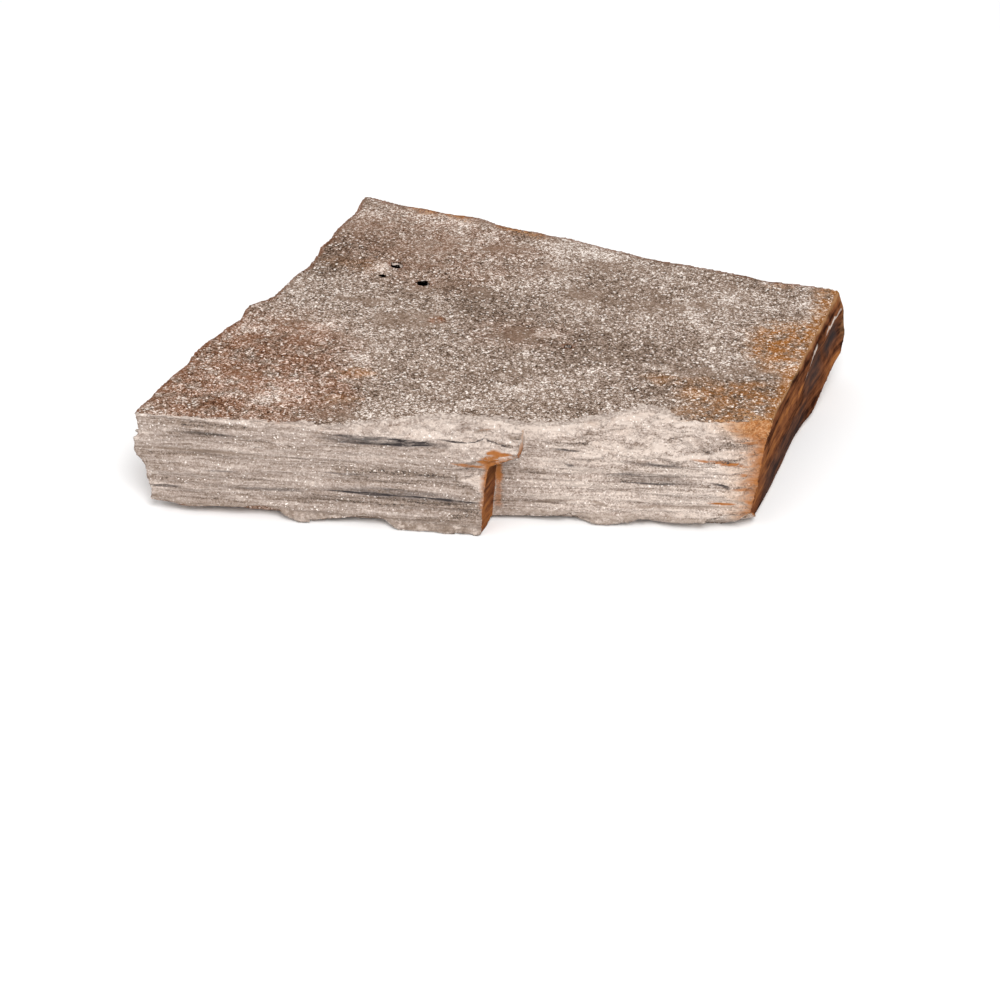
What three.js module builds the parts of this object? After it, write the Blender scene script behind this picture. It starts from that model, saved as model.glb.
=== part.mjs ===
// A flagstone: one slab of quartz-mica schist, lying on its lower bedding face.
// Its two large faces split along the bedding. The front is freshly broken in two
// blocks with a step between them, the right side is a natural joint plane, and the
// back and left sides are rough breaks. Millimetres, +Z up, front towards -Y.
import * as THREE from "three";

// ---- Driving sizes -------------------------------------------------------------
const THICKNESS = 54;

// Corners of the top face, anticlockwise from above.
const FRONT_LEFT = [-175, -125];
const STEP_OUTER = [18, -125];
const STEP_INNER = [20, -110.5];
const FRONT_RIGHT = [142, -105];
const BACK_RIGHT = [175, 53];
const BACK_LEFT = [-106, 134];

// How far each side's foot stands out past its top edge, or in if negative.
const FRONT_LEAN = 7;
const FRONT_RIGHT_LEAN = 5;
const BACK_LEAN = 6;

// The step: a joint set back under a thin upper layer, with a ledge between.
const STEP_SETBACK = 14;
const STEP_SLANT = 2;
const LEDGE_LOW = 36;
const LEDGE_HIGH = 40;

// The worn bevel along the top of the joint plane, and the hollow below it.
const BEVEL_DEPTH = 3;
const HOLLOW_DEPTH = 3;
const HOLLOW = { along: 120, height: 36, length: 32, rise: 6 };

// Roughness of the sides, as the size of a bump.
const BREAK_ROUGHNESS = 1.6;
const FRESH_ROUGHNESS = 0.6;
const JOINT_ROUGHNESS = 0.4;

// Rings of the sides, as parts of the thickness: close together at the ledge and
// under the top edge, where the front is spalled.
const LEDGE = [LEDGE_LOW / THICKNESS, LEDGE_HIGH / THICKNESS];
const LEVELS = [0, 0.06, 0.14, 0.26, 0.4, 0.54, ...LEDGE, 0.8, 0.86, 0.91, 0.96, 1];

// The flat that the stone rests on, as a part of the plan of the lower edge, and how
// many points of that edge go to one of its own.
const REST_SIZE = 0.9;
const REST_EVERY = 4;

// ---- Profiles along the sides --------------------------------------------------
/** A smooth line through [distance, value] rows, level past both ends. */
function profile(rows) {
  return (distance) => {
    const next = rows.findIndex(([at]) => at > distance);
    if (next < 0) {
      return rows.at(-1)[1];
    }
    if (next === 0) {
      return rows[0][1];
    }
    const [from, low] = rows[next - 1];
    const [to, high] = rows[next];
    return low + (high - low) * THREE.MathUtils.smoothstep(distance, from, to);
  };
}

/** Scallops broken off under a top edge, from [distance, how far back, how deep] rows. */
function spall(rows) {
  const back = profile(rows.map(([at, far]) => [at, far]));
  const deep = profile(rows.map(([at, , depth]) => [at, depth]));
  return (distance, z) => {
    const depth = deep(distance);
    const up = Math.max(0, 1 - (THICKNESS - z) / depth);
    return -back(distance) * up ** 1.2;
  };
}

const leftSpall = spall([
  [0, 0, 2],
  [100, 1, 3],
  [112, 4, 5],
  [133, 13, 6],
  [152, 20, 9],
  [168, 19, 13],
  [179, 19, 20],
  [193, 13.5, 30],
]);
const rightSpall = spall([
  [0, 1, 16],
  [18, 3, 15],
  [37, 9, 15],
  [52, 18, 15],
  [61, 24, 15],
  [77, 15, 15],
  [107, 15, 18],
  [122, 17, 40],
]);

// Height of the lower edge above the ground along each side.
const leftFoot = profile([[6, 7], [23, 5], [66, 8.5], [89, 1.5], [131, 7], [149, 0.5]]);
const rightFoot = profile([[0, 3], [27, 4.5], [41, 8], [54, 0.5], [76, 6], [90, 4], [119, 12]]);
const jointFoot = profile([[0, 12], [14, 3], [60, 2], [110, 3], [132, 12], [150, 19], [161, 28]]);
const backFoot = profile([[0, 28], [22, 6], [60, 3], [120, 5], [190, 2], [292, 5]]);
const sideFoot = profile([[0, 5], [60, 3], [120, 6], [190, 4], [268, 6]]);

// How far the foot of the joint plane is set back, or stands out if negative.
const jointUndercut = profile([[90, 6], [135, 0], [161, -5]]);

// How far down the bevel of the joint plane goes: to its foot at the front.
const bevelHeight = profile([[30, 50], [90, 9]]);

// The left break is undercut below half its height.
const leftBreak = profile([[8, -6.5], [22, -6], [32, 0.5], [40, 0], [THICKNESS, 0]]);

/** Smooth irregular bumps between about -1 and 1, a few centimetres across. */
function bumps(u, v) {
  const broad = Math.sin(u / 11 + 2.1 * Math.sin(v / 9));
  const middle = Math.sin(u / 5.3 - v / 4.1 + 1.3);
  const small = Math.sin(u / 2.9 + v / 3.7 + 4.2);
  return 0.5 * broad + 0.32 * middle + 0.18 * small;
}

function leftBlock(along, z) {
  const lean = FRONT_LEAN * (1 - z / THICKNESS);
  return lean + leftSpall(along, z) + FRESH_ROUGHNESS * bumps(along, 2 * z);
}

function step(along, z) {
  const under = 1 - THREE.MathUtils.smoothstep(z, LEDGE_LOW, LEDGE_HIGH);
  const slant = STEP_SLANT * (1 - z / LEDGE_LOW);
  const setback = STEP_SETBACK + slant - along / 8;
  return -under * setback + JOINT_ROUGHNESS * bumps(4 * along, z);
}

function rightBlock(along, z) {
  const lean = FRONT_RIGHT_LEAN * (1 - z / THICKNESS);
  return lean + rightSpall(along, z) + FRESH_ROUGHNESS * bumps(along + 90, 2 * z);
}

function jointPlane(along, z) {
  const lean = -jointUndercut(along) * (1 - z / THICKNESS);
  const bevel = BEVEL_DEPTH * Math.max(0, 1 - (THICKNESS - z) / bevelHeight(along));
  const across = (along - HOLLOW.along) / HOLLOW.length;
  const up = (z - HOLLOW.height) / HOLLOW.rise;
  const hollow = HOLLOW_DEPTH * Math.exp(-(across ** 2) - up ** 2);
  return lean - bevel - hollow + JOINT_ROUGHNESS * bumps(along + 40, z);
}

function backBreak(along, z) {
  return BACK_LEAN * (1 - z / THICKNESS) + BREAK_ROUGHNESS * bumps(along + 150, 1.5 * z);
}

function leftSide(along, z) {
  return leftBreak(z) + BREAK_ROUGHNESS * bumps(along + 300, 1.5 * z);
}

// Each side runs from its corner to the next, through its bends. The relief is how
// far its surface stands out of the upright plane between its corners.
const SIDES = [
  { from: FRONT_LEFT, bends: [], parts: 64, relief: leftBlock, foot: leftFoot },
  { from: STEP_OUTER, bends: [], parts: 4, relief: step, foot: () => 0.5 },
  { from: STEP_INNER, bends: [], parts: 44, relief: rightBlock, foot: rightFoot },
  { from: FRONT_RIGHT, bends: [], parts: 36, relief: jointPlane, foot: jointFoot },
  {
    from: BACK_RIGHT,
    bends: [[169, 56.5], [130, 62], [84, 75], [56, 81], [17, 98], [-16, 105], [-38, 116], [-82, 125]],
    parts: 44,
    relief: backBreak,
    foot: backFoot,
  },
  {
    from: BACK_LEFT,
    bends: [[-109, 112], [-123, 39], [-133, 3], [-146, -6], [-145, -22], [-156, -48], [-168, -94]],
    parts: 48,
    relief: leftSide,
    foot: sideFoot,
  },
];

// ---- The slab ------------------------------------------------------------------
/** Adds to each side its plan line, and the directions along and out of its plane. */
function laidOut(side, index) {
  const end = SIDES[(index + 1) % SIDES.length].from;
  const points = [side.from, ...side.bends, end].map(([x, y]) => new THREE.Vector2(x, y));
  const line = new THREE.CurvePath();
  points.slice(1).forEach((point, i) => line.add(new THREE.LineCurve(points[i], point)));
  const along = points.at(-1).clone().sub(points[0]).normalize();
  const out = new THREE.Vector2(along.y, -along.x);
  return { ...side, line, along, out, length: line.getLength() };
}

/** Where the corner before a side moves to at a height, so that it is on both sides. */
function cornerShift(before, after, z) {
  const first = before.relief(before.length, z);
  const second = after.relief(0, z);
  const turn = before.out.cross(after.out);
  return new THREE.Vector2(
    (first * after.out.y - second * before.out.y) / turn,
    (second * before.out.x - first * after.out.x) / turn,
  );
}

/** The points around the slab at a level from 0, the lower edge, to 1, the top edge. */
function edgeRing(sides, level) {
  return sides.flatMap((side, index) => {
    const before = sides[(index + sides.length - 1) % sides.length];
    const after = sides[(index + 1) % sides.length];
    return Array.from({ length: side.parts }, (_, part) => {
      const way = part / side.parts;
      const distance = way * side.length;
      const z = THREE.MathUtils.lerp(side.foot(distance), THICKNESS, level);
      const start = cornerShift(before, side, z).dot(side.along);
      const finish = cornerShift(side, after, z).dot(side.along);
      const point = side.line.getPointAt(way);
      point.addScaledVector(side.along, THREE.MathUtils.lerp(start, finish, way));
      point.addScaledVector(side.out, side.relief(distance, z));
      return new THREE.Vector3(point.x, point.y, z);
    });
  });
}

/** The outline of the flat that the stone rests on, inside its lower edge. */
function restRing(edge) {
  const sum = edge.reduce((total, point) => total.add(point), new THREE.Vector3());
  const centre = sum.divideScalar(edge.length);
  return edge
    .filter((_, index) => index % REST_EVERY === 0)
    .map((point) => point.clone().lerp(centre, 1 - REST_SIZE).setZ(0));
}

/** Triangles between a ring and the next one, which has as many points or fewer. */
function band(outer, inner) {
  const ratio = outer.length / inner.length;
  return inner.flatMap((point, index) => {
    const next = inner[(index + 1) % inner.length];
    const fan = Array.from({ length: ratio + 1 }, (_, i) => outer[(index * ratio + i) % outer.length]);
    const triangles = fan.slice(1).flatMap((corner, i) => [fan[i], corner, point]);
    return [...triangles, fan.at(-1), next, point];
  });
}

/** Triangles that fill a flat ring, seen from above. */
function filled(ring) {
  const triangles = THREE.ShapeUtils.triangulateShape(ring, []);
  return triangles.flat().map((index) => ring[index]);
}

function slabGeometry() {
  const sides = SIDES.map(laidOut);
  const rings = LEVELS.map((level) => edgeRing(sides, level));
  const walls = rings.slice(1).flatMap((ring, index) => band(rings[index], ring));
  const rest = restRing(rings[0]);
  const underside = [...band(rings[0], rest), ...filled(rest)].reverse();
  const corners = [...walls, ...filled(rings.at(-1)), ...underside];
  const geometry = new THREE.BufferGeometry().setFromPoints(corners);
  geometry.computeBoundingBox();
  const { min, max } = geometry.boundingBox;
  geometry.translate(-(min.x + max.x) / 2, -(min.y + max.y) / 2, -min.z);
  geometry.computeVertexNormals();
  return geometry;
}

const schist = new THREE.MeshStandardMaterial({ color: 0x9b8d81, roughness: 0.85, metalness: 0 });
const slab = new THREE.Mesh(slabGeometry(), schist);
slab.name = "flagstone";

const group = new THREE.Group();
group.add(slab);

export default group;
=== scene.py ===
"""The looks of a flagstone, laid out as a Blender add-on: one slab of quartz-mica schist with its
cleft faces, fresh breaks and rusty joints, on a plain floor in soft light."""

import math

import bpy
import numpy as np
from bpy.props import FloatProperty, FloatVectorProperty, IntProperty, PointerProperty
from mathutils import Color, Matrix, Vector
from mathutils.kdtree import KDTree


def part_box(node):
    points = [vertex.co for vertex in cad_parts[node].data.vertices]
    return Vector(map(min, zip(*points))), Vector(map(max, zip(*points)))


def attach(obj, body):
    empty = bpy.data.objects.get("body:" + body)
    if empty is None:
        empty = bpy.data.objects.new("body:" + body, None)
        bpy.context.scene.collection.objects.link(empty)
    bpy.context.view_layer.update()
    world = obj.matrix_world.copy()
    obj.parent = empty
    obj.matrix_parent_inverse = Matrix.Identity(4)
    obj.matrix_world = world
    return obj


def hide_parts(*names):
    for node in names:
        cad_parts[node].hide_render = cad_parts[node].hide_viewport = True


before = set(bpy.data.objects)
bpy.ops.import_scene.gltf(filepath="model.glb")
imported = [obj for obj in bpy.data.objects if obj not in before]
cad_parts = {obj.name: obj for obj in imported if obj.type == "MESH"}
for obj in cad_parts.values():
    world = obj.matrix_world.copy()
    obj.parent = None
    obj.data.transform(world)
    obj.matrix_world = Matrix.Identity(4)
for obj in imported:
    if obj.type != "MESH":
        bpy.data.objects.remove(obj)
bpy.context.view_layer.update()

bl_info = {
    "name": "Flagstone",
    "version": (1, 0, 0),
    "blender": (4, 5, 0),
    "location": "View3D > Sidebar > Flagstone",
    "description": "Shapes and finishes a slab of split schist",
    "category": "Object",
}

MM = 0.001
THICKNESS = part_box("flagstone")[1].z

# The joint plane on the right: a point on it, in millimetres, and the turn of its face from +X.
JOINT_POINT = np.array((141.5, -107.6))
JOINT_TURN = math.radians(-11.8)
JOINT_OUT = np.array((math.cos(JOINT_TURN), math.sin(JOINT_TURN)))

# The ways that the back and the left end face, seen from above.
BACK_OUT = (0.277, 0.961)
LEFT_OUT = (-0.95, 0.313)

# The step in the front: the middle of its rusty joint, in millimetres, and the room around it.
STEP = (8, -119, 26)
STEP_ROOM = (15, 13, 28)

# Where soft grains fell out of the top: the middle of each hole, its half sizes and its turn.
VUGS = (
    (-72.9, 47.8, 3.7, 2.6, 5.0, -28),
    (-54.7, 29.6, 3.3, 2.5, 5.0, -8),
    (-78.8, 34.6, 1.2, 1.2, 2.4, 0),
    (32.2, -29.8, 1.6, 1.5, 3.0, 0),
)

# Shallow hollows in the joint on the right: the middle of each along Y and Z, its half sizes along
# the joint and up it, and its depth.
HOLLOWS = (
    (31, 36, 17, 11, 2.2),
    (-2, 34, 20, 15, 2.6),
)



def side_view(facing, corner):
    """A flat view of one side, which faces a way seen from above, as a row of BAKE_VIEWS."""
    x, y = facing
    return (x, y, 0), (-y, x, 0), (0, 0, 1), corner, 1, 1


# Flat views of the slab, next to each other on a square for baking: the way each faces, the ways
# its width and height run, its lower left corner in millimetres, its scale, and how strongly it
# draws faces that lie between two views.
BAKE_SIDE = 484
BAKE_VIEWS = (
    ((0, 0, 1), (1, 0, 0), (0, 1, 0), (1, 1), 1, 1.5),
    ((0, 0, -1), (0, 1, 0), (1, 0, 0), (360, 1), 0.44, 1.5),
    side_view((0, -1), (1, 275)),
    side_view(BACK_OUT, (1, 335)),
    side_view(JOINT_OUT, (1, 395)),
    side_view(LEFT_OUT, (196, 395)),
)


# ---- What a user would change ---------------------------------------------------------------------
def length(name, description, default):
    """A size in metres."""
    return FloatProperty(name=name, description=description, default=default, unit="LENGTH", precision=5)


def colour(name, description, levels):
    """A colour, its default given in levels of red, green and blue from 0 to 255."""
    shade = Color([level / 255 for level in levels]).from_srgb_to_scene_linear()
    return FloatVectorProperty(
        name=name, description=description, default=shade, subtype="COLOR", min=0, max=1
    )


class SlabShape(bpy.types.PropertyGroup):
    """Sizes of the slab's relief."""

    mesh_size: length("Mesh size", "Size of the faces before thinning", 0.9 * MM)
    ledges: length("Ledges", "How far thick beds stand out of a fresh break", 2.4 * MM)
    thin_ledges: length("Thin ledges", "How far thin beds stand out of a fresh break", 1.0 * MM)
    scallops: length("Scallops", "Depth of the flakes under the top edge", 4.5 * MM)
    ruggedness: length("Ruggedness", "How rough the back and left breaks are", 5.0 * MM)
    swell: length("Swell", "Waviness of the cleft faces", 1.2 * MM)
    faces: IntProperty(name="Triangles", description="Triangles kept after thinning", default=190000)


class SlabColours(bpy.types.PropertyGroup):
    """Colours of the stone."""

    mica_dark: colour("Dark mica", "Darkest flakes of the cleft faces", (50, 38, 31))
    mica: colour("Mica", "Common flakes of the cleft faces", (117, 98, 84))
    quartz: colour("Quartz", "Light grains", (160, 140, 126))
    # Painted highlight: the colour of grains that flash, standing in for the sparkle of light off mica.
    painted_glint: colour("Glint", "Grains that flash", (246, 236, 228))
    film: colour("Film", "Smooth skin over parts of the cleft faces", (126, 104, 88))
    fresh: colour("Fresh break", "Rock that has just been broken", (158, 143, 134))
    pale: colour("Pale break", "Crushed rock under the top edge", (204, 189, 178))
    bed_dark: colour("Dark bed", "Dark mica beds in the breaks", (58, 53, 53))
    bed_tan: colour("Tan bed", "Iron-tinted beds in the breaks", (130, 113, 100))
    rust: colour("Rust", "Iron skin of the joints", (112, 68, 44))
    rust_dark: colour("Dark rust", "Thick iron skin of the joints", (48, 26, 18))
    orange: colour("Orange rust", "Bright iron stain", (156, 100, 56))
    red_wash: colour("Red wash", "Light that the brown-red stain lets through", (235, 196, 172))
    rust_wash: colour("Rust wash", "Light that soaked-in iron lets through", (218, 172, 140))
    ochre: colour("Ochre", "Thick ochre stain", (172, 134, 94))
    ochre_wash: colour("Ochre wash", "Light that the ochre stain lets through", (242, 194, 134))


class Studio(bpy.types.PropertyGroup):
    """The floor and the light."""

    floor: colour("Floor", "Colour of the floor", (246, 246, 246))
    key: FloatProperty(name="Key", description="Power of the key light", default=42, unit="POWER")
    fill: FloatProperty(name="Fill", description="Power of the fill light", default=8, unit="POWER")
    sky: FloatProperty(name="Sky", description="Strength of the light from all round", default=0.75)


# ---- Tools for shaping ----------------------------------------------------------------------------
def smooth_step(value, low, high):
    """0 below low, 1 above high and smooth between, for a whole array."""
    way = np.clip((value - low) / (high - low), 0, 1)
    return way * way * (3 - 2 * way)


def select_only(piece):
    """Makes a piece the only selected and active object."""
    bpy.ops.object.select_all(action="DESELECT")
    piece.select_set(True)
    bpy.context.view_layer.objects.active = piece


def apply_modifier(piece, name, kind, **settings):
    """Adds one modifier to a piece and applies it. It is an error if nothing of the piece is left."""
    select_only(piece)
    modifier = piece.modifiers.new(name, kind)
    for setting, value in settings.items():
        setattr(modifier, setting, value)
    bpy.ops.object.modifier_apply(modifier=name)
    if not piece.data.polygons:
        raise RuntimeError(f"{name} left nothing of {piece.name}")


def relief(piece, name, size, depth, region, terraces=0, kind="CLOUDS", **pattern):
    """Moves a region of a piece out and in by a natural pattern. Size is that of its features, in
    millimetres along X, Y and Z, and depth the whole height of the relief, in metres. A pattern
    with terraces is cut into that many flat steps. Its name picks the part of the pattern."""
    texture = bpy.data.textures.new(name, kind)
    texture.noise_scale = 1
    for setting, value in pattern.items():
        setattr(texture, setting, value)
    if terraces:
        texture.use_color_ramp = True
        ramp = texture.color_ramp
        ramp.interpolation = "CONSTANT"
        for i in range(terraces):
            step = ramp.elements[i] if i < len(ramp.elements) else ramp.elements.new(1)
            level = i / (terraces - 1)
            step.position = 0.25 + 0.5 * i / terraces if i else 0
            step.color = (level, level, level, 1)
    bpy.ops.object.empty_add(location=(0.3 * len(name), 0.7, 0.1))
    guide = bpy.context.object
    guide.scale = Vector(size) * MM
    apply_modifier(
        piece,
        name,
        "DISPLACE",
        texture=texture,
        texture_coords="OBJECT",
        texture_coords_object=guide,
        strength=depth,
        mid_level=0.5,
        vertex_group=region,
    )
    bpy.data.objects.remove(guide)
    bpy.data.textures.remove(texture)


def corners_and_normals(piece):
    """Places, in millimetres, and normals of a piece's vertices."""
    count = len(piece.data.vertices)
    places = np.empty(count * 3)
    normals = np.empty(count * 3)
    piece.data.vertices.foreach_get("co", places)
    piece.data.vertices.foreach_get("normal", normals)
    return places.reshape(-1, 3) / MM, normals.reshape(-1, 3)


# ---- The slab ---------------------------------------------------------------------------------------
def plain_slab():
    """The slab's plain body, as one closed mesh."""
    slab = bpy.data.objects.new("flagstone_slab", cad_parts["flagstone"].data.copy())
    bpy.context.scene.collection.objects.link(slab)
    select_only(slab)
    slab.data.materials.clear()
    bpy.ops.object.mode_set(mode="EDIT")
    bpy.ops.mesh.select_all(action="SELECT")
    bpy.ops.mesh.remove_doubles(threshold=0.001 * MM)
    bpy.ops.object.mode_set(mode="OBJECT")
    return slab


def cut(slab, name, place, half, turn):
    """Cuts an egg out of the slab. Its place and half sizes are in millimetres."""
    bpy.ops.object.select_all(action="DESELECT")
    bpy.ops.mesh.primitive_ico_sphere_add(
        subdivisions=3, radius=MM, location=Vector(place) * MM, rotation=(0, 0, turn), scale=half
    )
    cutter = bpy.context.object
    apply_modifier(slab, name, "BOOLEAN", operation="DIFFERENCE", solver="EXACT", object=cutter)
    bpy.data.objects.remove(cutter)


def cut_holes(slab):
    """Cuts the small holes in the top and the hollows in the joint. A hollow is the tip of an egg
    that lies outside the joint but for a third of its half width, so the egg is wider than the
    hollow."""
    wider = 1.342
    for x, y, *half, turn in VUGS:
        cut(slab, "vug", (x, y, THICKNESS / MM), half, math.radians(turn))
    for y, z, along, up, depth in HOLLOWS:
        face = JOINT_POINT[0] - (y - JOINT_POINT[1]) * math.tan(JOINT_TURN)
        middle = np.array((face, y)) + JOINT_OUT * depth * 2
        cut(slab, "hollow", (*middle, z), (3 * depth, wider * along, wider * up), JOINT_TURN)


def nearness(places, targets, seekers, reach):
    """1 at the target places, falling to 0 over the reach, for those places that seek them."""
    found = np.flatnonzero(targets)
    tree = KDTree(len(found))
    for i in found:
        tree.insert(places[i], int(i))
    tree.balance()
    weights = targets.astype(float)
    for i in np.flatnonzero(seekers):
        weights[i] = max(weights[i], 1 - tree.find(places[i])[2] / reach)
    return weights


def find_regions(slab):
    """Vertex groups and attributes of the kinds of surface: the two cleft faces, the fresh front,
    the rusty joints and the rugged breaks."""
    places, normals = corners_and_normals(slab)
    x, y, z = places.T
    rise = normals[:, 2]
    top = smooth_step(rise, 0.75, 0.95) * smooth_step(z, THICKNESS / MM - 1.6, THICKNESS / MM - 0.5)
    under = smooth_step(-rise, 0.55, 0.85)
    out = (places[:, :2] - JOINT_POINT) @ JOINT_OUT
    joint = smooth_step(normals[:, :2] @ JOINT_OUT + normals[:, 1], 0.2, 0.5) * smooth_step(out, -14, -9)
    near_step = np.prod([np.abs(places[:, i] - STEP[i]) < STEP_ROOM[i] for i in range(3)], axis=0)
    joint = np.maximum(joint, near_step * smooth_step(normals[:, 0] + normals[:, 1], 0.0, 0.4))
    joint *= (1 - top) * (1 - smooth_step(-rise, 0.6, 0.8))
    front = smooth_step(-normals[:, 1], 0.15, 0.4) * (1 - joint) * (1 - top) * (1 - under)
    rugged = np.clip(1 - top - under - joint - front, 0, 1)
    spalled = front * smooth_step(rise, 0.15, 0.45)
    flat = front * (1 - spalled) * (0.15 + 0.85 * smooth_step(x, -176, -158))
    edge_room = 1 - 0.85 * smooth_step(z, THICKNESS / MM - 14, THICKNESS / MM - 3)
    edge_room *= 1 - 0.8 * smooth_step(-y, 92, 118)
    step_room = 1 - 0.75 * smooth_step(-np.abs(x - STEP[0]), -16, -6)
    regions = {
        "top": top,
        "under": under,
        "joint": joint,
        "front": front,
        "rugged": rugged,
        "spalled": spalled,
        "flat break": flat * step_room,
        "rugged relief": rugged * edge_room,
    }
    for name, weights in regions.items():
        group = slab.vertex_groups.new(name=name)
        for level in np.unique(np.round(weights[weights > 0.01], 1)):
            members = np.flatnonzero(np.round(weights, 1) == level)
            group.add(members.tolist(), float(level), "REPLACE")
    shares = {name: regions[name] for name in ("top", "under", "joint", "front", "spalled")}
    shares["front edge"] = nearness(places, front > 0.5, (top > 0.5) & (y < -70), 12)
    shares["old edge"] = nearness(places, rugged > 0.6, (top > 0.5) & (front < 0.1), 8)
    for name, weights in shares.items():
        attribute = slab.data.attributes.new(f"{name} share", "FLOAT", "POINT")
        attribute.data.foreach_set("value", weights.astype(np.float32))


def add_bake_map(slab):
    """Gives the slab a map for baking, in which no side hides another. The walls of the holes are
    on the view of the top."""
    mesh = slab.data
    normals = np.empty(len(mesh.polygons) * 3)
    mesh.polygons.foreach_get("normal", normals)
    middles = np.empty(len(mesh.polygons) * 3)
    mesh.polygons.foreach_get("center", middles)
    middles = middles.reshape(-1, 3) / MM
    draw = normals.reshape(-1, 3) @ np.array([view[0] for view in BAKE_VIEWS]).T
    draw *= [view[5] for view in BAKE_VIEWS]
    for x, y, *_ in VUGS:
        near = np.hypot(middles[:, 0] - x, middles[:, 1] - y) < 6
        draw[near & (middles[:, 2] > 40), 0] = 2 * draw.max()
    totals = np.empty(len(mesh.polygons), dtype=int)
    mesh.polygons.foreach_get("loop_total", totals)
    chosen = np.repeat(draw.argmax(axis=1), totals)
    corners = np.empty(len(mesh.loops), dtype=int)
    mesh.loops.foreach_get("vertex_index", corners)
    places = corners_and_normals(slab)[0][corners]
    spots = np.empty((len(mesh.loops), 2))
    for i, (_, along, up, corner, scale, _) in enumerate(BAKE_VIEWS):
        flat = places[chosen == i] @ np.array((along, up)).T * scale
        spots[chosen == i] = (flat - flat.min(axis=0) + corner) / BAKE_SIDE
    mesh.uv_layers.new(name="OFBake").data.foreach_set("uv", spots.ravel())


def shape_slab(shape):
    """The slab with all its relief, thinned to its share of triangles."""
    slab = plain_slab()
    cut_holes(slab)
    apply_modifier(slab, "even mesh", "REMESH", mode="VOXEL", voxel_size=shape.mesh_size)
    apply_modifier(slab, "ease", "SMOOTH", factor=0.5, iterations=2)
    find_regions(slab)

    relief(slab, "swell", (50, 38, 50), shape.swell, "top", noise_depth=2)
    relief(slab, "sugar", (4, 4, 4), 0.5 * MM, "top", noise_depth=3)
    relief(slab, "under swell", (40, 40, 40), shape.swell, "under", noise_depth=2)

    relief(slab, "thick beds", (75, 75, 7), shape.ledges, "flat break", terraces=6, noise_depth=2)
    relief(slab, "thin beds", (34, 34, 2.2), shape.thin_ledges, "flat break", terraces=4, noise_depth=1)
    relief(slab, "splinters", (7, 7, 1.8), 0.6 * MM, "front", noise_depth=3)
    relief(slab, "flakes", (24, 18, 9), shape.scallops, "spalled", terraces=5, noise_depth=2)
    relief(slab, "chips", (8, 6, 4), 0.5 * shape.scallops, "spalled", terraces=4, noise_depth=1)

    relief(slab, "blocks", (26, 26, 9), shape.ruggedness, "rugged relief", terraces=9, noise_depth=3)
    relief(slab, "torn beds", (14, 14, 2.2), 1.8 * MM, "rugged relief", noise_depth=3)
    relief(slab, "joint skin", (18, 30, 8), 0.9 * MM, "joint", noise_depth=3)

    triangles = sum(len(face.vertices) - 2 for face in slab.data.polygons)
    if triangles > shape.faces:
        apply_modifier(slab, "thin", "DECIMATE", ratio=shape.faces / triangles)
    select_only(slab)
    bpy.ops.object.shade_smooth()
    add_bake_map(slab)
    return slab


class FLAGSTONE_OT_slab(bpy.types.Operator):
    """Shape the slab out of its plain body and give it its finish"""

    bl_idname = "flagstone.slab"
    bl_label = "Slab"

    def execute(self, context):
        slab = shape_slab(context.scene.slab_shape)
        slab.data.materials.append(stone_finish(context.scene.slab_colours))
        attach(slab, "root")
        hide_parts("flagstone")
        return {"FINISHED"}


# ---- Tools for finishes ---------------------------------------------------------------------------
class Value:
    """A socket of a material's nodes, for arithmetic that adds its Math nodes."""

    def __init__(self, nodes, socket):
        self.nodes = nodes
        self.socket = socket

    def maths(self, operation, *values):
        """One Math node."""
        return self.nodes.add("ShaderNodeMath", {"operation": operation}, dict(enumerate(values)))

    def __add__(self, other):
        return self.maths("ADD", self, other)

    def __sub__(self, other):
        return self.maths("SUBTRACT", self, other)

    def __rsub__(self, other):
        return self.maths("SUBTRACT", other, self)

    def __mul__(self, other):
        return self.maths("MULTIPLY", self, other)

    __radd__ = __add__
    __rmul__ = __mul__

    def highest(self, other):
        """The larger of this and another."""
        return self.maths("MAXIMUM", self, other)

    def rise(self, low, high):
        """0 below low, 1 above high and smooth between, or turned round if high is below low."""
        ends = {"From Min": low, "From Max": high}
        if high < low:
            ends = {"From Min": high, "From Max": low, "To Min": 1.0, "To Max": 0.0}
        settings = {"interpolation_type": "SMOOTHSTEP"}
        return self.nodes.add("ShaderNodeMapRange", settings, {"Value": self, **ends})


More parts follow.
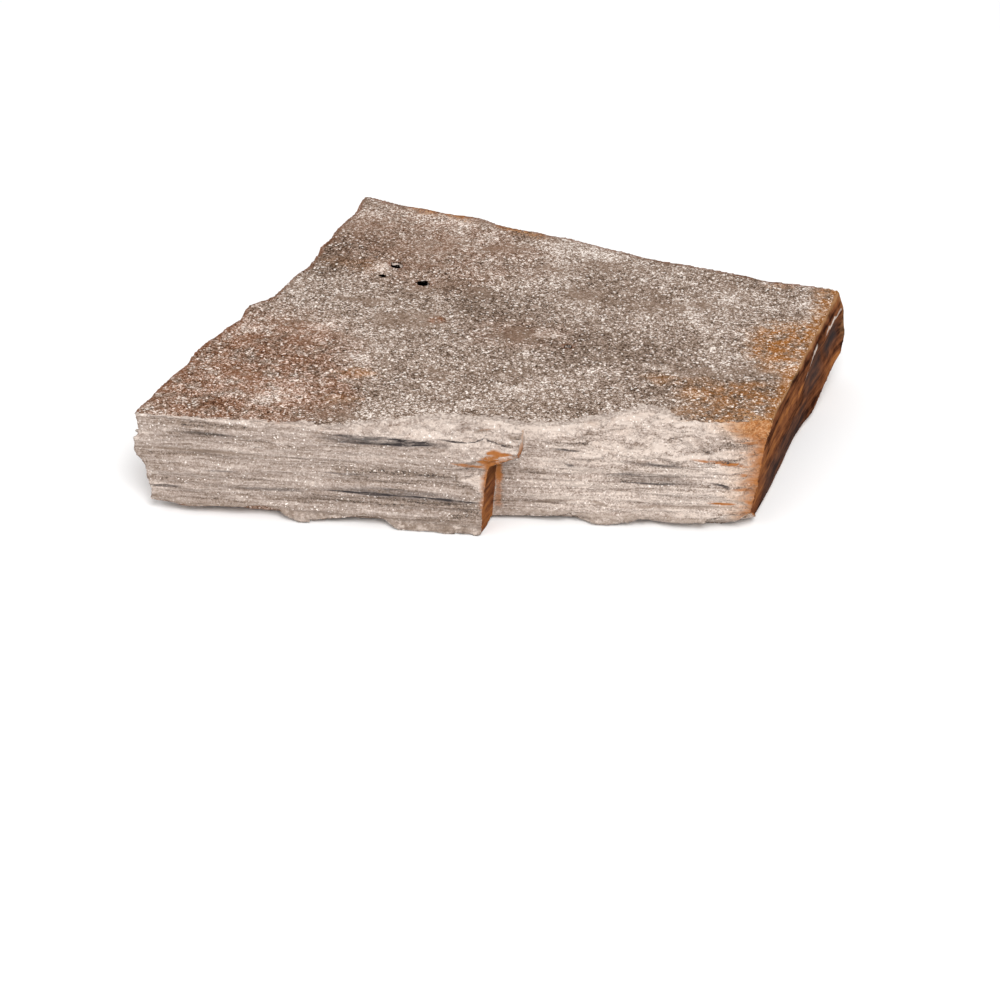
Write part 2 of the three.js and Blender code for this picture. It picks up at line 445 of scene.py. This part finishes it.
class Nodes:
    """The nodes of one material. Places are in millimetres."""

    def __init__(self, material):
        material.use_nodes = True
        self.tree = material.node_tree
        self.tree.nodes.remove(self.tree.nodes["Principled BSDF"])
        here = self.add("ShaderNodeTexCoord", out="Object")
        self.place = self.vector("SCALE", here, Scale=1 / MM)
        parts = self.add("ShaderNodeSeparateXYZ", inputs={0: self.place}, out=None)
        self.x, self.y, self.z = (Value(self, parts.outputs[i]) for i in range(3))

    def add(self, kind, settings=None, inputs=None, out=0):
        """Adds a node with its settings and inputs, and gives one output of it, or the node itself."""
        node = self.tree.nodes.new(kind)
        for name, setting in (settings or {}).items():
            if name == "stops":
                self.set_stops(node.color_ramp, setting)
            else:
                setattr(node, name, setting)
        for name, value in (inputs or {}).items():
            self.plug(value, node.inputs[name])
        return node if out is None else Value(self, node.outputs[out])

    def plug(self, value, socket):
        """Links a value to a socket, or sets the socket to a number or colour."""
        if isinstance(value, Value):
            self.tree.links.new(value.socket, socket)
        elif hasattr(value, "__len__") and len(socket.default_value) == 4:
            socket.default_value = (*value, 1)
        else:
            socket.default_value = value

    def set_stops(self, ramp, stops):
        """Gives a ramp its colours, each with its place from 0 to 1."""
        while len(ramp.elements) < len(stops):
            ramp.elements.new(1)
        for element, (place, shade) in zip(ramp.elements, stops):
            element.position = place
            element.color = (*shade, 1)

    def vector(self, operation, *values, **named):
        """Maths on places and colours."""
        inputs = {**dict(enumerate(values)), **named}
        return self.add("ShaderNodeVectorMath", {"operation": operation}, inputs)

    def share(self, region):
        """How far a place belongs to a region of the slab."""
        return self.add("ShaderNodeAttribute", {"attribute_name": f"{region} share"}, out="Fac")

    def sized(self, size, seed):
        """The place in units of a feature's size, which is one number or one for each axis. Each
        seed gives another part of the pattern."""
        sizes = size if hasattr(size, "__len__") else (size, size, size)
        inputs = {
            0: self.place,
            "Location": (31.7 * seed, 17.3 * seed, 11.9 * seed),
            "Scale": [1 / length for length in sizes],
        }
        return self.add("ShaderNodeMapping", {"vector_type": "POINT"}, inputs)

    def noise(self, size, seed, detail=3.0, roughness=0.6, out="Fac"):
        """Cloudy noise with features of a size."""
        inputs = {"Vector": self.sized(size, seed), "Scale": 1.0, "Detail": detail, "Roughness": roughness}
        return self.add("ShaderNodeTexNoise", inputs=inputs, out=out)

    def swirl(self, size, seed, reach, place):
        """A place, pushed about by up to the reach, so that edges drawn on it are ragged."""
        push = self.vector("SUBTRACT", self.noise(size, seed, out="Color"), (0.5, 0.5, 0.5))
        return self.vector("MULTIPLY_ADD", push, [4 * r for r in reach], place)

    def grains(self, size, seed):
        """A number from 0 to 1 that is the same all over each mineral grain."""
        inputs = {"Vector": self.sized(size, seed), "Scale": 1.0}
        shade = self.add("ShaderNodeTexVoronoi", {"voronoi_dimensions": "3D"}, inputs, out="Color")
        return self.add("ShaderNodeSeparateColor", inputs={0: shade})

    def ramp(self, value, *stops):
        """Colours along a value."""
        return self.add("ShaderNodeValToRGB", {"stops": stops}, {0: value})

    def blend(self, factor, first, second, way="MIX"):
        """Two colours, mixed or put over each other."""
        settings = {"data_type": "RGBA", "blend_type": way, "clamp_factor": True}
        return self.add("ShaderNodeMix", settings, {0: factor, 6: first, 7: second}, out=2)

    def between(self, factor, first, second):
        """A number between two others."""
        return self.add("ShaderNodeMix", {"data_type": "FLOAT"}, {0: factor, 2: first, 3: second}, out=0)

    def fine_relief(self, height):
        """The normal of fine relief, its height in millimetres."""
        return self.add("ShaderNodeBump", None, {"Height": height, "Strength": 1.0, "Distance": MM})

    def surface(self, shade, normal, roughness=0.85):
        """A dull surface of a colour."""
        inputs = {"Base Color": shade, "Roughness": roughness, "Specular IOR Level": 0.0, "Normal": normal}
        return self.add("ShaderNodeBsdfPrincipled", None, inputs)

    def over(self, factor, lower, upper):
        """One surface over another. Only the one that shows is worked out where the factor is 0 or 1."""
        return self.add("ShaderNodeMixShader", None, {0: factor, 1: lower, 2: upper})

    def oval(self, place, axis, middle, half, turn=0.0, edge=0.7):
        """1 in the middle of an oval and 0 outside it. It is drawn across an axis, 0 for X, 1 for Y
        or 2 for Z, and goes right through along it. Middle and half sizes are along the other two."""
        across = [i for i in range(3) if i != axis]
        steps = []
        for way, size in zip((turn, turn + math.pi / 2), half):
            direction = np.zeros(3)
            direction[across] = np.array((math.cos(way), math.sin(way))) / size
            inputs = {0: place, 1: direction.tolist()}
            step = self.add("ShaderNodeVectorMath", {"operation": "DOT_PRODUCT"}, inputs, out="Value")
            steps.append(step - float(direction[across] @ middle))
        return (steps[0] * steps[0] + steps[1] * steps[1]).rise(1.0, (1.0 - edge) ** 2)

    def line(self, place, axis, start, end, width, edge=0.9):
        """1 along the middle of a thin lens from start to end, and 0 outside it."""
        run, climb = end[0] - start[0], end[1] - start[1]
        middle = ((start[0] + end[0]) / 2, (start[1] + end[1]) / 2)
        half = (math.hypot(run, climb) / 2, width / 2)
        return self.oval(place, axis, middle, half, math.atan2(climb, run), edge)

    def spots(self, marks):
        """Ragged ovals on the cleft faces, each given by x, y, half sizes, turn and strength."""
        return self.all_of(
            self.oval(self.ragged, 2, (x, y), (a, b), math.radians(turn)) * strength
            for x, y, a, b, turn, strength in marks
        )

    def all_of(self, marks):
        """The strongest of many marks at each place. Marks that are made one by one here, by a
        generator, keep fewer values waiting than a finished list would."""
        marks = iter(marks)
        total = next(marks)
        for mark in marks:
            total = total.highest(mark)
        return total


# ---- The finish -------------------------------------------------------------------------------------
# Marks on the top, in millimetres: x, y, half sizes, turn in degrees and strength.
FILMS = (
    (8, -20, 22, 10, -5, 0.8),
    (-58, -13, 30, 12, 5, 0.7),
    (-76, 84, 56, 26, -15, 0.6),
    (-34, 24, 26, 10, -20, 0.8),
    (58, 30, 36, 16, -18, 0.7),
    (96, -44, 26, 9, -12, 0.7),
)
RED_STAINS = (
    (-60, 74, 90, 60, -15, 0.42),
    (4, -20, 40, 22, -5, 0.25),
    (-136, -84, 82, 92, -10, 0.85),
    (-88, -90, 28, 44, 0, 0.75),
    (-112, -36, 34, 20, 0, 0.7),
    (-42, -11, 7, 5, 0, 1.0),
)
OCHRE_STAINS = (
    (150, -12, 32, 36, -20, 1.5),
    (124, -68, 42, 18, 8, 1.15),
    (118, -86, 34, 9, 2, 1.1),
    (168, 44, 13, 30, -12, 0.9),
    (92, -57, 26, 8, -4, 0.6),
    (-72, -73, 15, 6, 0, 0.7),
    (-77, -99, 13, 7, 0, 0.6),
    (-96, 46, 26, 10, -10, 0.3),
)
PALE_SPOTS = (
    (50, -54, 8, 5, 0, 1),
    (103, -71, 9, 5, 0, 1),
    (80, -45, 10, 4, 0, 1),
    (-10, -96, 10, 6, 0, 1),
    (21, -19, 9, 6, 0, 1.2),
    (-80, 43, 7, 6, 0, 1.2),
    (39, 74, 16, 7, -15, 0.8),
    (72, 62, 48, 13, -17, 0.3),
    (128, 36, 36, 12, -12, 0.35),
    (-60, 98, 76, 34, -15, 0.3),
    (20, 84, 40, 16, -17, 0.3),
)
# Painted shade on the top: darker ovals where its gentle swells and dips would be in shade.
PAINTED_SHADE_SPOTS = (
    (31, -21, 113, 24, -36, 1.0),
    (-104, 56, 32, 26, 30, 1.3),
    (116, -60, 40, 16, 4, 1.3),
    (136, -10, 22, 16, 0, 0.7),
    (4, -14, 13, 58, -8, 1.0),
)
RIM_STAINS = (
    (-66, 117, 14, 8, 0, 0.9),
    (-48, 112, 12, 7, -20, 1.0),
    (-8, 97, 20, 6, -18, 1.0),
    (140, 52, 12, 4, -8, 0.7),
    (166, 49, 9, 9, 0, 1.0),
    (114, -93, 20, 5, 3, 1.6),
    (133, -90, 9, 5, 0, 1.6),
)

# The plane that the beds in the front are drawn on. It leans back, so that they cross the flaked
# slope too: its foot along Y, in millimetres, and its rise per step back. Right of the step's edge
# along X it lies farther back, as the front does.
FRONT_FOOT = -128
FRONT_LEAN = 0.649
STEP_EDGE = (18, 19.5)
STEP_BACK = 17.5

# Beds in the front, in millimetres: x and height of one end, x and height of the other, width and
# strength.
DARK_BEDS = (
    (-160, 45.6, -119, 45.0, 2.2, 0.7),
    (-160, 45.4, -116, 44.6, 5.0, 0.25),
    (-88, 48.2, -8, 48.6, 7.0, 0.8),
    (-79, 49.6, -54, 50.4, 2.2, 0.9),
    (-62, 50.4, -16, 49.0, 2.6, 1.2),
    (-80, 46.4, -46, 46.8, 2.4, 0.9),
    (-60, 46.6, -18, 48.4, 2.8, 1.2),
    (-142, 22.8, -117, 24.4, 1.6, 0.5),
    (-90, 27.0, -50, 27.8, 1.8, 0.5),
    (-33, 29.9, -18, 29.6, 2.0, 0.5),
    (-170, 12.4, -151, 12.1, 2.2, 0.9),
    (-136, 13.3, -81, 16.2, 3.5, 0.45),
    (-88, 18.4, 8, 17.2, 7.5, 0.6),
    (-82, 16.9, -30, 16.8, 2.4, 1.2),
    (-50, 17.0, 6, 15.8, 2.6, 1.3),
    (-64, 19.3, -20, 20.1, 2.2, 0.7),
    (-24, 51.9, -4, 51.0, 1.8, 1.1),
    (-7, 50.8, 4, 55.4, 1.8, 1.1),
    (2, 55.4, 14, 49.4, 1.8, 1.0),
    (35, 40.2, 47, 40.2, 2.0, 0.9),
    (40, 31.9, 47, 31.9, 2.4, 0.9),
    (24, 33.0, 62, 31.0, 5.0, 0.25),
    (60, 36.0, 108, 35.2, 3.4, 0.5),
    (66, 35.7, 106, 35.3, 1.8, 0.8),
    (52, 27.0, 118, 26.5, 8.0, 0.3),
    (58, 27.3, 83, 29.7, 2.0, 0.9),
    (64, 23.4, 110, 25.6, 2.0, 0.8),
    (112, 27.5, 127, 24.0, 2.2, 0.9),
)
TAN_BEDS = (
    (-178, 34.9, -106, 34.6, 2.6, 0.9),
    (-8, 57.6, 5, 60.6, 2.4, 0.8),
    (16, 6.4, 53, 11.8, 3.0, 0.7),
    (51, 12.2, 64, 8.1, 3.0, 0.7),
    (62, 8.2, 138, 14.6, 3.0, 0.7),
)
RUSTY_BEDS = (
    (-16, 38.6, 4, 36.9, 2.6, 1.0),
    (-4, 38.0, 11, 48.6, 9.0, 1.5),
    (4, 46.2, 18, 45.4, 3.2, 1.3),
    (-6, 58.0, 6, 61.0, 3.0, 0.5),
    (100, 40.4, 142, 38.0, 3.0, 1.1),
    (110, 15.2, 131, 15.7, 3.0, 1.2),
    (99, 65.6, 138, 65.0, 3.6, 1.5),
    (112, 69.0, 142, 69.5, 4.0, 0.9),
    (118, 59.2, 145, 60.1, 4.5, 0.9),
    (125, 52.7, 145, 52.8, 3.4, 0.9),
    (122, 46.0, 145, 46.5, 3.0, 0.6),
    (123, 32.5, 140, 33.5, 3.0, 0.8),
    (124, 23.8, 140, 25.4, 3.0, 0.8),
)

# Marks on the joint, in millimetres. Bright rust: y, z, half sizes and strength. Ridges, partly worn pale
# rock and partly painted highlight where the lips of the hollows catch the light: y and z of one end, y
# and z of the other, and width.
GLOWS = (
    (-64, 33, 36, 11, 1.0),
    (34, 21, 18, 6, 1.0),
    (-30, 37, 7, 5, 1.2),
    (-98, 22, 16, 22, 0.9),
)
LIT_RIDGES = (
    (13, 45.0, 50, 47.0, 2.6),
    (-26, 38.0, 0, 50.0, 3.0),
    (-7, 46.0, 3, 48.5, 3.8),
)


def cleft_finish(s, colours):
    """Split bedding: flakes of mica and grains of quartz, with skins and stains, and painted highlights
    where flakes flash.
    """
    fine = s.grains(0.5, 1)
    coarse = s.grains(1.0, 2)
    clusters = s.noise(4.5, 3, roughness=0.7)
    patches = s.noise(34, 4)
    film = s.spots(FILMS).highest(s.noise((38, 20, 30), 5).rise(0.5, 0.75))
    film = film * patches.rise(0.3, 0.6)
    grain = fine * 0.5 + coarse * 0.4 + clusters * 0.55
    mixed = s.between(film * 0.5, grain + patches * 0.5, 0.88)
    # The dim spots are painted shade: they darken the top where its gentle swells would be in shade.
    tone = mixed + s.spots(PALE_SPOTS) * 0.2 - s.spots(PAINTED_SHADE_SPOTS) * 0.08 - 0.42
    # The brightest tones are in the glint colour: light quartz grains, and painted highlights of flashing
    # mica.
    shade = s.ramp(
        tone,
        (0.16, colours.mica_dark),
        (0.44, colours.mica),
        (0.68, colours.quartz),
        (1.0, colours.painted_glint),
    )
    shade = s.blend(film * 0.45, shade, colours.film)
    # Painted highlight: scattered grains that flash, drawn in the glint colour and fainter under the film.
    flash = s.grains(0.95, 18).rise(0.935, 0.96) * (1 - film * 0.7)
    shade = s.blend(flash * 0.8, shade, colours.painted_glint)
    dull = 1 - (tone.rise(0.55, 0.95) + flash) * 0.6
    blotches = s.noise(9, 6, roughness=0.75)
    red = s.spots(RED_STAINS) * (blotches.rise(0.28, 0.62) * 1.15) * dull
    shade = s.blend(red, shade, colours.red_wash, "MULTIPLY")
    ochre = s.spots(OCHRE_STAINS) * (blotches * 0.6 + clusters * 0.6).rise(0.4, 0.8)
    ochre = ochre.highest((s.out + blotches * 34).rise(162, 178))
    shade = s.blend(ochre * dull * 0.35, shade, colours.ochre)
    shade = s.blend(ochre * dull, shade, colours.ochre_wash, "MULTIPLY")
    old_edge = (s.share("old edge") + blotches * 0.8 + clusters * 0.4).rise(1.15, 1.6)
    shade = s.blend(old_edge * (coarse * 0.5 + 0.35), shade, colours.rust)
    near_ends = s.x.rise(-60, -110) * 0.35 + s.x.rise(88, 108) * s.z.rise(20, 40) * 0.6
    bruise = (s.share("front edge") - near_ends + blotches * 0.9 + clusters * 0.9).rise(1.45, 1.6)
    shade = s.blend(bruise * 0.8, shade, s.ramp(coarse, (0.1, colours.fresh), (0.9, colours.pale)))
    rim = s.spots(RIM_STAINS) * (clusters + coarse * 0.3 + s.share("old edge") * 0.3).rise(0.6, 0.95)
    rim_shade = s.ramp(coarse, (0.1, colours.rust), (0.5, colours.orange), (1.0, colours.ochre))
    shade = s.blend(rim * 0.85, shade, rim_shade)
    return s.surface(shade, s.fine_relief((coarse + clusters) * 0.27))


def fresh_finish(s, colours):
    """A break across the beds: pale rock with thin dark and tan beds, crushed under the top edge."""
    wide = s.noise((90, 90, 6), 7)
    beds = s.noise((42, 42, 1.7), 8, roughness=0.65)
    hairs = s.noise((10, 10, 0.75), 9, detail=2.0)
    sugar = s.grains(0.7, 10)
    lumps = s.noise((20, 14, 3.4), 11, roughness=0.7)
    right = s.x.rise(*STEP_EDGE)
    height = s.z + (s.y - FRONT_FOOT - right * STEP_BACK) * FRONT_LEAN
    crushed = (height + lumps * 12 + right * 9 + s.x.rise(95, 125) * 14).rise(56, 62)
    crushed = crushed * s.x.rise(-85, -45)
    arris = (s.z + lumps * 5 - s.x.rise(-60, -100) * 1.6).rise(53.2, 55.0)
    crushed = crushed.highest(arris).highest(s.share("spalled").rise(0.2, 0.8))
    layered = wide * 0.45 + beds * 0.64 + hairs * 0.46 + 0.1
    brighter = s.x.rise(0, 50)
    spread = 0.9 + brighter * 0.4
    powder = lumps + beds * 0.8 + hairs * 0.45 + arris * 0.1 - brighter * 0.17 - 0.05
    tone = s.between(crushed, layered, powder) + (sugar - 0.5) * 0.28
    tone = (tone - 0.87) * spread + 0.5 + brighter * 0.18 - s.x.rise(-100, -70) * 0.05
    shade = s.ramp(
        tone,
        (0.18, colours.bed_dark),
        (0.36, colours.bed_tan),
        (0.52, colours.fresh),
        (0.8, colours.pale),
    )
    # Bright grains with painted highlights: scattered sparkles in the glint colour, where the lumps allow.
    shade = s.blend(s.grains(0.65, 19).rise(0.94, 0.98) * lumps.rise(0.3, 0.7), shade, colours.painted_glint)
    leaning = s.add("ShaderNodeCombineXYZ", inputs={0: s.x, 1: s.y, 2: height})
    torn = s.swirl((16, 16, 4), 12, (4, 0, 0.6), leaning)
    rough = hairs.rise(0.3, 0.6) * 0.75 + 0.35

    def bedded(marks):
        """The strongest of many beds at each place, rough as the hairlines are."""
        return s.all_of(s.line(torn, 1, m[0:2], m[2:4], m[4]) * m[5] for m in marks) * rough

    dark = bedded(DARK_BEDS)
    shade = s.blend(bedded(TAN_BEDS), shade, colours.bed_tan)
    shade = s.blend(dark, shade, colours.bed_dark)
    near_joint = s.out + beds * 9 + lumps * 16 + height.rise(50, 62) * 10
    washed = near_joint.rise(148, 172) * (height.rise(50, 60) * 0.4 + hairs * 0.5 + 0.2)
    shade = s.blend(washed, shade, colours.ochre_wash, "MULTIPLY")
    left_of_step = (s.x + lumps * 5).rise(1, 6.5) * s.y.rise(-118, -121) * s.z.rise(44, 38)
    right_of_step = (s.x - lumps * 3).rise(9.5, 6.5) * s.y.rise(-119, -116) * s.z.rise(38, 35)
    right_of_step = right_of_step * s.y.rise(-100, -105) * s.x.rise(-12, -4)
    rusty = bedded(RUSTY_BEDS).highest(near_joint.rise(155, 174) * 1.1)
    rusty = rusty.highest(left_of_step).highest(right_of_step)
    rusty = rusty * (rusty + lumps * 1.4 + hairs * 0.8 + sugar * 0.5 - 1.35).rise(0.0, 0.8)
    grainy = height.rise(50, 60) * (sugar * 0.8 + lumps * 0.6 - 0.35)
    shade = s.blend(rusty * (1 - grainy), shade, colours.orange)
    return shade, s.fine_relief(beds * 0.72 + hairs * 0.45)


def joint_finish(s, colours):
    """An old joint: an iron skin in streaks, thick and shiny in its hollow."""
    streaks = s.noise((60, 70, 4.5), 13, roughness=0.65)
    mottle = s.noise((6, 12, 6), 14, roughness=0.65)
    at_step = s.x.rise(60, 40)
    glow = s.all_of(s.oval(s.ragged, 0, m[0:2], m[2:4]) * m[4] for m in GLOWS) * (1 - at_step)
    tone = streaks * 0.8 + mottle * 0.6 - 0.27 + at_step * (0.1 + s.z.rise(40, 48) * 0.4)
    tone = tone + glow * 0.12
    shade = s.ramp(tone, (0.3, colours.rust_dark), (0.5, colours.rust), (0.72, colours.orange))
    hollow = s.all_of(s.oval(s.ragged, 0, h[0:2], h[2:4]) for h in HOLLOWS) * (1 - at_step)
    shade = s.blend(hollow * (0.85 - streaks * 0.5), shade, colours.bed_dark)
    shade = s.blend(s.oval(s.ragged, 1, (8, 31), (9, 7)) * 0.6, shade, colours.rust_dark)
    foot = (s.z + mottle * 10).rise(31, 24) * s.y.rise(0, -20) * s.y.rise(-104, -78) * s.x.rise(60, 80)
    shade = s.blend(foot * 0.5, shade, colours.bed_dark)
    # Painted highlight: pale lines along the lips of the hollows, partly worn rock and partly light caught
    # on the lips.
    ridge_highlight = s.all_of(s.line(s.ragged, 0, m[0:2], m[2:4], m[4]) for m in LIT_RIDGES)
    shade = s.blend(ridge_highlight * s.x.rise(60, 80) * (mottle + 0.4), shade, colours.pale)
    rim = (s.z + mottle * 5).rise(54, 56.5).highest(at_step * s.z.rise(42, 50) * 0.7)
    rim = rim.highest(s.y.rise(44, 56) * s.x.rise(60, 80) * mottle.rise(0.3, 0.6))
    shade = s.blend(rim * 0.6, shade, colours.ochre)
    shade = s.blend(at_step * s.z.rise(40, 48) * 0.55, shade, colours.pale)
    return s.surface(shade, s.fine_relief(mottle * 0.8), 0.75 - hollow * 0.3)


def rugged_finish(s, colours, fresh):
    """The old breaks at the back and left: weathered beds that iron has soaked into, with patches
    of thick rust."""
    stain = s.noise((24, 24, 7), 15, detail=5.0, roughness=0.7)
    shade = s.blend(0.75, fresh, colours.red_wash, "MULTIPLY")
    shade = s.blend(0.3, shade, colours.bed_tan)
    at_back = (s.x * BACK_OUT[0] + s.y * BACK_OUT[1]).rise(55, 85)
    soaked = stain + at_back * 0.07 + s.z.rise(44, 53) * 0.08
    shade = s.blend(soaked.rise(0.4, 0.7), shade, colours.rust_wash, "MULTIPLY")
    streaks = s.noise((16, 16, 2.4), 20, detail=4.0)
    skin = s.ramp(streaks, (0.3, colours.rust_dark), (0.5, colours.rust), (0.7, colours.orange))
    return s.blend(soaked.rise(0.52, 0.85) * 0.62, shade, skin)


def stone_finish(colours):
    """The whole finish of the slab: a surface for each kind of face, over each other where the slab's
    regions say, with their borders frayed, and black painted shade in the small holes, where light doesn't
    reach."""
    material = bpy.data.materials.new("schist")
    s = Nodes(material)
    s.out = s.x * float(JOINT_OUT[0]) + s.y * float(JOINT_OUT[1])
    s.ragged = s.swirl(13, 16, (4, 4, 2), s.place)

    fresh, normal = fresh_finish(s, colours)
    rugged = rugged_finish(s, colours, fresh)

    fray = (s.noise(3, 17, detail=2.0) - 0.5) * 0.8
    foot = (s.z + fray * 6).rise(9.5, 5.5)
    cleaved = (s.share("top") + s.share("under") + foot * 0.33 + fray).rise(0.2, 0.5)
    broken = (s.share("front") + s.share("top") + s.share("under") + fray * 0.5).rise(0.25, 0.55)
    joint = (s.share("joint") + fray * 0.4).rise(0.35, 0.6)
    fresh = s.surface(s.blend(foot * 0.6, fresh, colours.bed_tan), normal)
    rugged = s.surface(s.blend(foot * 0.6, rugged, colours.bed_tan), normal)
    rock = s.over(broken, rugged, fresh)
    rock = s.over(cleaved, rock, cleft_finish(s, colours))
    rock = s.over(joint, rock, joint_finish(s, colours))
    # Painted shade: black in the small holes, where light doesn't reach, drawn on a ragged place.
    pitted = s.swirl(2.5, 21, (1.6, 1.6, 0.5), s.place)
    hole_shade = s.all_of(
        s.oval(pitted, 2, (x, y), (a + 0.5, b + 0.5), math.radians(turn), 0.15)
        for x, y, a, b, _, turn in VUGS
    )
    hole_shade = hole_shade * s.z.rise(55.8, 55.2) * s.z.rise(44, 46)
    rock = s.over(hole_shade, rock, s.surface((0, 0, 0), normal))
    s.plug(rock, s.tree.nodes["Material Output"].inputs["Surface"])
    return material


# ---- The studio -------------------------------------------------------------------------------------
CAMERA_PLACE = (0.1565, -1.1704, 0.7025)
CAMERA_PITCH = math.radians(33)
CAMERA_AZIMUTH = math.radians(8)
CAMERA_LENS = 90
FLOOR_SIZE = 12


def area_light(name, place, aim, size, power):
    """A soft square light that faces a point."""
    bpy.ops.object.light_add(type="AREA", location=place)
    light = bpy.context.object
    light.name = name
    light.data.size = size
    light.data.energy = power
    light.rotation_euler = (Vector(aim) - Vector(place)).to_track_quat("-Z", "Y").to_euler()


class FLAGSTONE_OT_studio(bpy.types.Operator):
    """Lay the floor, and set the lights and the camera"""

    bl_idname = "flagstone.studio"
    bl_label = "Studio"

    def execute(self, context):
        studio = context.scene.studio
        bpy.ops.object.select_all(action="DESELECT")
        bpy.ops.mesh.primitive_plane_add(size=FLOOR_SIZE, location=(0, 0, 0))
        floor = context.object
        floor.name = "floor"
        material = bpy.data.materials.new("floor")
        material.use_nodes = True
        shader = material.node_tree.nodes["Principled BSDF"]
        shader.inputs["Base Color"].default_value = (*studio.floor, 1)
        shader.inputs["Roughness"].default_value = 0.9
        floor.data.materials.append(material)

        area_light("key", (0.5, -1.5, 1.9), (0, 0, 0), 1.1, studio.key)
        area_light("fill", (-1.6, -1.4, 1.2), (0, 0, 0), 1.6, studio.fill)
        world = bpy.data.worlds.new("soft light all round")
        world.use_nodes = True
        world.node_tree.nodes["Background"].inputs["Color"].default_value = (1, 1, 1, 1)
        world.node_tree.nodes["Background"].inputs["Strength"].default_value = studio.sky
        context.scene.world = world
        context.scene.view_settings.view_transform = "Standard"

        bpy.ops.object.camera_add(location=CAMERA_PLACE)
        camera = context.object
        camera.rotation_euler = (math.radians(90) - CAMERA_PITCH, 0, CAMERA_AZIMUTH)
        camera.data.lens = CAMERA_LENS
        camera.data.sensor_width = 36
        camera.data.clip_end = 30
        context.scene.camera = camera
        return {"FINISHED"}


class FLAGSTONE_PT_tools(bpy.types.Panel):
    """Lists the steps that make the flagstone"""

    bl_idname = "FLAGSTONE_PT_tools"
    bl_label = "Flagstone"
    bl_space_type = "VIEW_3D"
    bl_region_type = "UI"
    bl_category = "Flagstone"

    def draw(self, context):
        for operator in OPERATORS:
            self.layout.operator(operator.bl_idname)


OPERATORS = (FLAGSTONE_OT_studio, FLAGSTONE_OT_slab)
SETTINGS = {"slab_shape": SlabShape, "slab_colours": SlabColours, "studio": Studio}


def register():
    """Adds the classes and the settings to Blender."""
    for cls in (*SETTINGS.values(), *OPERATORS, FLAGSTONE_PT_tools):
        bpy.utils.register_class(cls)
    for name, group in SETTINGS.items():
        setattr(bpy.types.Scene, name, PointerProperty(type=group))


def unregister():
    """Takes the classes and the settings out again."""
    for name in SETTINGS:
        delattr(bpy.types.Scene, name)
    for cls in (FLAGSTONE_PT_tools, *reversed(OPERATORS), *SETTINGS.values()):
        bpy.utils.unregister_class(cls)


def main():
    """Makes everything in order."""
    register()
    bpy.ops.flagstone.studio()
    bpy.ops.flagstone.slab()


if __name__ == "__main__":
    main()
